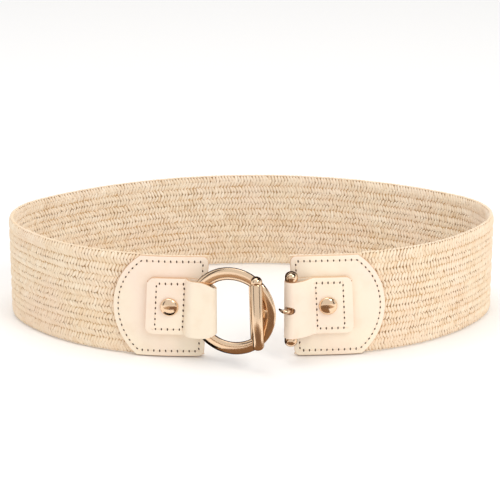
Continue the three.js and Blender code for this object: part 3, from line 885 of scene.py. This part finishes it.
punch_bm = bmesh.new()
bmesh.ops.create_cone(punch_bm, cap_ends=True, segments=40, radius1=0.5, radius2=0.5, depth=PUNCH_LENGTH)
bmesh.ops.scale(punch_bm, vec=(HOLE_HEIGHT, HOLE_WIDTH, 1), verts=punch_bm.verts)
bmesh.ops.rotate(punch_bm, cent=(0, 0, 0), matrix=Matrix.Rotation(math.pi / 2, 3, "Y"), verts=punch_bm.verts)
bmesh.ops.translate(punch_bm, vec=(PUNCH_REACH, 0, 0), verts=punch_bm.verts)
bmesh.ops.rotate(punch_bm, cent=(0, 0, 0), matrix=Matrix.Rotation(HOOK_ANGLE, 3, "Z"), verts=punch_bm.verts)
bmesh.ops.translate(punch_bm, vec=(pin_axis.x, pin_axis.y, BUCKLE_HEIGHT), verts=punch_bm.verts)
bmesh.ops.scale(punch_bm, vec=(MM, MM, MM), verts=punch_bm.verts)
punch_mesh = bpy.data.meshes.new("punch")
punch_bm.to_mesh(punch_mesh)
punch_bm.free()
punch = bpy.data.objects.new("punch", punch_mesh)
scene.collection.objects.link(punch)
hole = strap_pieces["strap_right"].modifiers.new("hole", "BOOLEAN")
hole.operation = "DIFFERENCE"
hole.solver = "EXACT"
hole.object = punch
apply_modifiers(strap_pieces["strap_right"])
bpy.data.objects.remove(punch)
print("hole axis:", [round(v, 2) for v in pin_axis])

# %% [markdown]
# ## Stitches
# The seams are sewn in a thread of the leather's colour, so what the eye sees is the row of dark needle
# holes, about 3.3 mm apart, with a short raised stitch between. The awl is held upright, so the holes of
# a level seam stand across it. A seam is a line of points: we walk it at the stitch length and put a dark
# oval at each hole, painted shade standing in for the hole's depth, and a thin spindle of thread between
# two holes.

# %% Thread and needle holes
thread_material, _, _ = new_material(
    "waxed thread", {"Base Color": from_hex("F7E3CB"), "Roughness": 0.6}
)
# painted shade: each needle hole is a dark oval on the leather's face, its colour standing in for the shade
# inside a hole
hole_shade_material, _, _ = new_material(
    "needle hole painted shade", {"Base Color": from_hex("4E3626"), "Roughness": 0.9, "Specular IOR Level": 0.1}
)
STITCH_PITCH = 3.3
HOLE_HALF = (0.42, 0.78)  # across and along a needle hole
HOLE_DEPTH = 0.10
THREAD_HALF = (0.30, 0.20)  # across and up
THREAD_ROOM = 0.55  # from a thread's end to the hole's middle
MARK_LIFT = {"hole": 0.03, "thread": 0.06}  # over the leather's face
LEVEL_SEAM = 0.35  # a seam that climbs less than this is level
SMALL_SHAPE = spindle(8, 5)


def walk_line(points, pitch, closed=True):
    """Places and directions at equal steps along a line of (length, height) points."""
    points = np.array(points + points[:1] if closed else points, dtype=float)
    steps = np.linalg.norm(np.diff(points, axis=0), axis=1)
    total = steps.sum()
    count = max(int(round(total / pitch)), 2)
    marks = np.concatenate([[0], np.cumsum(steps)])
    result = []
    for mark in (np.arange(count) + 0.5) * total / count:
        i = min(int(np.searchsorted(marks, mark, side="right")) - 1, len(steps) - 1)
        way = (points[i + 1] - points[i]) / steps[i]
        result.append((points[i] + way * (mark - marks[i]), way))
    return result, total / count


def sew(name, side, start, line, level, seed):
    """A seam on one half of the loop, as needle holes and threads."""
    rng = np.random.default_rng(seed)
    marks, pitch = walk_line(line, STITCH_PITCH)
    holes, hole_axes, threads, thread_axes = [], [], [], []
    for (along, z), way in marks:
        for kind in ("hole", "thread"):
            shift = 0 if kind == "hole" else pitch / 2
            at_along, at_z = along + way[0] * shift, z + way[1] * shift
            place, inward, outward = wall_axes(side, start + at_along)
            turn = math.atan2(way[1], way[0])
            if kind == "hole" and abs(way[1]) < LEVEL_SEAM:
                turn = math.pi / 2
            turn += rng.normal(0, 0.10)
            sideways = -inward
            long_way = sideways * math.cos(turn) + Vector((0, 0, math.sin(turn)))
            wide_way = sideways * -math.sin(turn) + Vector((0, 0, math.cos(turn)))
            spot = leaning(place + outward * (level + MARK_LIFT[kind]) + Vector((0, 0, at_z)))
            if kind == "hole":
                holes.append(spot)
                hole_long = HOLE_HALF[1] + rng.normal(0, 0.08)
                hole_axes.append((wide_way * HOLE_HALF[0], outward * HOLE_DEPTH, long_way * hole_long))
            else:
                threads.append(spot)
                thread_long = pitch / 2 - THREAD_ROOM
                thread_axes.append(
                    (wide_way * THREAD_HALF[0], outward * THREAD_HALF[1], long_way * thread_long)
                )
    no_shade = np.zeros(len(marks))
    scatter(name + "_holes", SMALL_SHAPE, holes, hole_axes, no_shade, hole_shade_material, "leather")
    scatter(name + "_thread", SMALL_SHAPE, threads, thread_axes, no_shade, thread_material, "leather")


# %% Sew the tabs and straps
SEAM_INSET = 3.1
BOX_HALF_HEIGHT = 13.5
STITCH_BOXES = {"strap_left": (40.7, 55.8), "strap_right": (33.8, 48.9)}

sew("tab_left", -1, GAPS[-1], tab_outline(SEAM_INSET), TAB_FACE, 31)
sew("tab_right", 1, GAPS[1], tab_outline(SEAM_INSET), TAB_FACE, 32)
for seed, (name, (near, far)) in enumerate(STITCH_BOXES.items(), start=33):
    low, high = BUCKLE_HEIGHT - BOX_HALF_HEIGHT, BUCKLE_HEIGHT + BOX_HALF_HEIGHT
    corners = [(near, low), (far, low), (far, high), (near, high)]
    sew(name, STRAPS[name]["side"], 0.0, corners, STRAP_FACE, seed)

# %% [markdown]
# ## Rose gold
# The metal is zinc alloy, polished and plated with a light rose gold. Plating has almost no grain: a
# low, nearly even roughness and a warm colour do the work, and the cards draw its edges.

# %% Metal material
metal_material, metal_tree, metal_shader = new_material(
    "polished rose gold", {"Base Color": from_hex("F2D3B2"), "Metallic": 1.0}
)
metal_place = add_node(metal_tree, "ShaderNodeTexCoord")
metal_smear = add_node(
    metal_tree, "ShaderNodeTexNoise", {"Scale": 1 / (6 * MM), "Detail": 4.0},
    {"Vector": metal_place.outputs["Object"]},
)
metal_gloss = add_node(
    metal_tree, "ShaderNodeMapRange", {"To Min": 0.12, "To Max": 0.18}, {"Value": metal_smear.outputs["Fac"]}
)
metal_tree.links.new(metal_gloss.outputs["Result"], metal_shader.inputs["Roughness"])

# %% [markdown]
# ## Turned parts
# Rivets, pin caps, the rod and the ring are all turned shapes: a profile spun about an axis. The spin
# operator makes them, and a matrix lays the axis where the part needs it.

# %% Spin helper
def turned(profile, closed=False, steps=48):
    """A bmesh of a profile of (radius, height) points spun about Z."""
    bm = bmesh.new()
    line = [bm.verts.new((radius, 0, height)) for radius, height in profile]
    pairs = list(zip(line, line[1:])) + ([(line[-1], line[0])] if closed else [])
    edges = [bm.edges.new(pair) for pair in pairs]
    bmesh.ops.spin(
        bm, geom=line + edges, cent=(0, 0, 0), axis=(0, 0, 1), angle=2 * math.pi, steps=steps, use_merge=True
    )
    bmesh.ops.remove_doubles(bm, verts=bm.verts, dist=1e-4)
    bmesh.ops.recalc_face_normals(bm, faces=bm.faces)
    return bm


def dome(radius, height, base, count=9):
    """Profile points of a dome that ends on the axis."""
    turns = np.linspace(0, math.pi / 2, count)[:-1]
    return [(radius * math.cos(t), base + height * math.sin(t)) for t in turns] + [(0.0, base + height)]


# %% Rivets
RIVETS = {"rivet_left": (-1, 48.3), "rivet_right": (1, 40.2)}
RIVET_SEAT = STRAP_FACE + 0.12
DISC_SEAT = -BAND_WALL - SEAT_GAP
DISC_RADIUS = 4.2
DISC_WALL = 0.8
POST_RADIUS = 1.8
DOME_RADIUS = 5.2
DOME_RISE = 2.35

for name, (side, along) in RIVETS.items():
    place, inward, outward = wall_axes(side, along)
    profile = [(0, DISC_SEAT - DISC_WALL), (DISC_RADIUS - 0.3, DISC_SEAT - DISC_WALL)]
    profile += [(DISC_RADIUS, DISC_SEAT - 0.5), (DISC_RADIUS, DISC_SEAT)]
    profile += [(POST_RADIUS, DISC_SEAT), (POST_RADIUS, RIVET_SEAT)]
    profile += [(DOME_RADIUS - 0.35, RIVET_SEAT), (DOME_RADIUS - 0.05, RIVET_SEAT + 0.12)]
    profile += dome(DOME_RADIUS, DOME_RISE, RIVET_SEAT + 0.3, 12)
    bm = turned(profile)
    turn = Vector((0, 0, 1)).rotation_difference(outward).to_matrix()
    bmesh.ops.rotate(bm, cent=(0, 0, 0), matrix=turn, verts=bm.verts)
    bmesh.ops.translate(bm, vec=place + Vector((0, 0, BUCKLE_HEIGHT)), verts=bm.verts)
    rivet = finish_piece(name + "_metal", bm, metal_material, sharp=50)
    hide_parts(name)

# %% [markdown]
# ## The ring buckle
# The ring is cast with a soft oval section. A flat crossbar runs down inside it, a short bridge ties the
# bar to the ring's right side, and a round toggle rod with a domed, collared top is soldered across the
# front. We model it about the ring's own middle and then turn it to lie in the strap's fold.

# %% Ring, bars and rod
CROSSBAR_PLACE = 14.8
CROSSBAR_SIZE = (8.8, 2.4)
CROSSBAR_BACK = 0.5  # the bar's middle behind the ring's
ROD_DIAMETER = 6.6
ROD_LENGTH = 43.0
ROD_PLACE = 16.2
ROD_RISE = 1.2
ROD_SOLDER = 0.7
ROD_COLLAR = 4.2  # from the rod's top to its groove
BRIDGE_HEIGHT = 5.3
BRIDGE_WALL = 3.2
RING_LEAN = math.radians(1.9)


def oval_section(middle, half_width, half_height, count=24, power=2.4):
    """A closed profile a little fuller than an ellipse."""
    points = []
    for turn in np.linspace(0, 2 * math.pi, count, endpoint=False):
        c, s = math.cos(turn), math.sin(turn)
        across = math.copysign(abs(c) ** (2 / power), c)
        up = math.copysign(abs(s) ** (2 / power), s)
        points.append((middle + half_width * across, half_height * up))
    return points


def rounded_bar(size, centre, radius=0.5):
    """A block with rounded edges."""
    bm = bmesh.new()
    bmesh.ops.create_cube(bm, size=1)
    bmesh.ops.scale(bm, vec=size, verts=bm.verts)
    bmesh.ops.bevel(
        bm, geom=bm.edges[:], offset=radius, segments=4, profile=0.5, affect="EDGES", material=-1
    )
    bmesh.ops.translate(bm, vec=centre, verts=bm.verts)
    return bm


def merge_in(target, part):
    """Adds one bmesh to another."""
    mesh = bpy.data.meshes.new("part")
    part.to_mesh(mesh)
    part.free()
    target.from_mesh(mesh)
    bpy.data.meshes.remove(mesh)


left = STRAPS["strap_left"]
ring_origin, ring_reach, ring_rise = lifted_axes(left["side"], left["bend"], left["lift"])
ring_place = ring_origin + ring_reach * (RING_START + RING_OUTER / 2)
ring_place += ring_rise * (STRAP_WALL + RING_ROOM / 2) + Vector((0, 0, BUCKLE_HEIGHT + RING_RISE))
ring_turn = math.atan2(ring_reach.y, ring_reach.x)

ring_middle = (RING_OUTER - RING_BAND) / 2
buckle_bm = turned(oval_section(ring_middle, RING_BAND / 2, RING_WALL / 2), closed=True, steps=120)
lie_flat = Matrix.Rotation(math.pi / 2, 3, "X")
bmesh.ops.rotate(buckle_bm, cent=(0, 0, 0), matrix=lie_flat, verts=buckle_bm.verts)
for vertex in buckle_bm.verts:  # the band is narrower beside the rod
    radius = math.hypot(vertex.co.x, vertex.co.z)
    depth = (RING_OUTER / 2 - radius) / RING_BAND
    towards_rod = max(vertex.co.x / radius, 0) ** 2
    stretch = 1 + RING_THINNING * depth * towards_rod / radius
    vertex.co = (vertex.co.x * stretch, vertex.co.y, vertex.co.z * stretch)

bar_half = math.sqrt(ring_middle**2 - CROSSBAR_PLACE**2)
merge_in(buckle_bm, rounded_bar((*CROSSBAR_SIZE, 2 * bar_half), (CROSSBAR_PLACE, CROSSBAR_BACK, 0), 0.9))
bridge_size = (ring_middle - CROSSBAR_PLACE, BRIDGE_WALL, BRIDGE_HEIGHT)
merge_in(buckle_bm, rounded_bar(bridge_size, ((ring_middle + CROSSBAR_PLACE) / 2, 0, 0), 0.7))

rod_radius = ROD_DIAMETER / 2
rod_half = ROD_LENGTH / 2
collar = rod_half - ROD_COLLAR
lower_end = [(r, -h) for r, h in reversed(dome(rod_radius - 0.05, 2.4, rod_half - 2.4))]
rod_profile = lower_end + [(rod_radius, -rod_half + 3), (rod_radius, collar - 0.35)]
rod_profile += [(rod_radius - 0.35, collar), (rod_radius - 0.05, collar + 0.35), (rod_radius, collar + 0.9)]
rod_profile += dome(rod_radius, 3.0, rod_half - 3.0)
rod_bm = turned(rod_profile, steps=40)
rod_y = -(RING_WALL / 2 + rod_radius - ROD_SOLDER)
bmesh.ops.translate(rod_bm, vec=(ROD_PLACE, rod_y, ROD_RISE), verts=rod_bm.verts)
merge_in(buckle_bm, rod_bm)

ring_way = Matrix.Rotation(ring_turn, 3, "Z") @ Matrix.Rotation(-RING_LEAN, 3, "Y")
bmesh.ops.rotate(buckle_bm, cent=(0, 0, 0), matrix=ring_way, verts=buckle_bm.verts)
bmesh.ops.translate(buckle_bm, vec=ring_place, verts=buckle_bm.verts)
buckle = finish_piece("ring_buckle_metal", buckle_bm, metal_material, sharp=50)
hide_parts("ring_buckle")

# %% [markdown]
# ## The hook
# The pin turns in the right strap's fold. Its caps keep it there, and a curved prong with a thin tip
# comes out through the oval hole. A curve object with a radius at each point makes the prong, because it
# gives a smooth tube that tapers.

# %% Pin, caps and prong
PIN_CAP = 7.2
PIN_CAP_HEIGHT = 5.4
PIN_PLAY = 0.2  # between the strap and each cap
HOOK_WIRE = 2.8
HOOK_TIP = 0.9
HOOK_PATH = [  # left, forward, up and thickness, as shares of the cap and of the wire
    (0.0, 0.0, 0.0, 1.0),
    (0.22, 0.5, 0.0, 1.0),
    (0.5, 0.73, 0.02, 0.92),
    (0.8, 0.62, 0.07, 0.62),
    (0.94, 0.3, 0.12, HOOK_TIP / HOOK_WIRE),
]

pin_half = STRAP_HEIGHT / 2 + PIN_PLAY
cap_radius = PIN_CAP / 2
cap = [(PIN_DIAMETER / 2, pin_half), (cap_radius - 0.25, pin_half), (cap_radius, pin_half + 0.3)]
cap += [(cap_radius, pin_half + PIN_CAP_HEIGHT * 0.42)]
cap += dome(cap_radius, PIN_CAP_HEIGHT * 0.55, pin_half + PIN_CAP_HEIGHT * 0.45)
pin_bm = turned([(r, -h) for r, h in reversed(cap)] + cap, steps=40)

curve = bpy.data.curves.new("prong", "CURVE")
curve.dimensions = "3D"
curve.bevel_depth = HOOK_WIRE / 2
curve.bevel_resolution = 5
curve.use_fill_caps = True
curve.resolution_u = 10
spline = curve.splines.new("NURBS")
spline.points.add(len(HOOK_PATH) - 1)
for point, (to_left, forward, up, thickness) in zip(spline.points, HOOK_PATH):
    point.co = (-to_left * PIN_CAP, -forward * PIN_CAP, up * PIN_CAP, 1)
    point.radius = thickness
spline.order_u = 3
spline.use_endpoint_u = True
prong = bpy.data.objects.new("prong", curve)
scene.collection.objects.link(prong)
prong_mesh = bpy.data.meshes.new_from_object(prong.evaluated_get(bpy.context.evaluated_depsgraph_get()))
pin_bm.from_mesh(prong_mesh)
bpy.data.objects.remove(prong)
bmesh.ops.translate(pin_bm, vec=(pin_axis.x, pin_axis.y, BUCKLE_HEIGHT), verts=pin_bm.verts)
hook = finish_piece("hook_bar_metal", pin_bm, metal_material, body="hook_pin", sharp=50)
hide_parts("hook_bar")
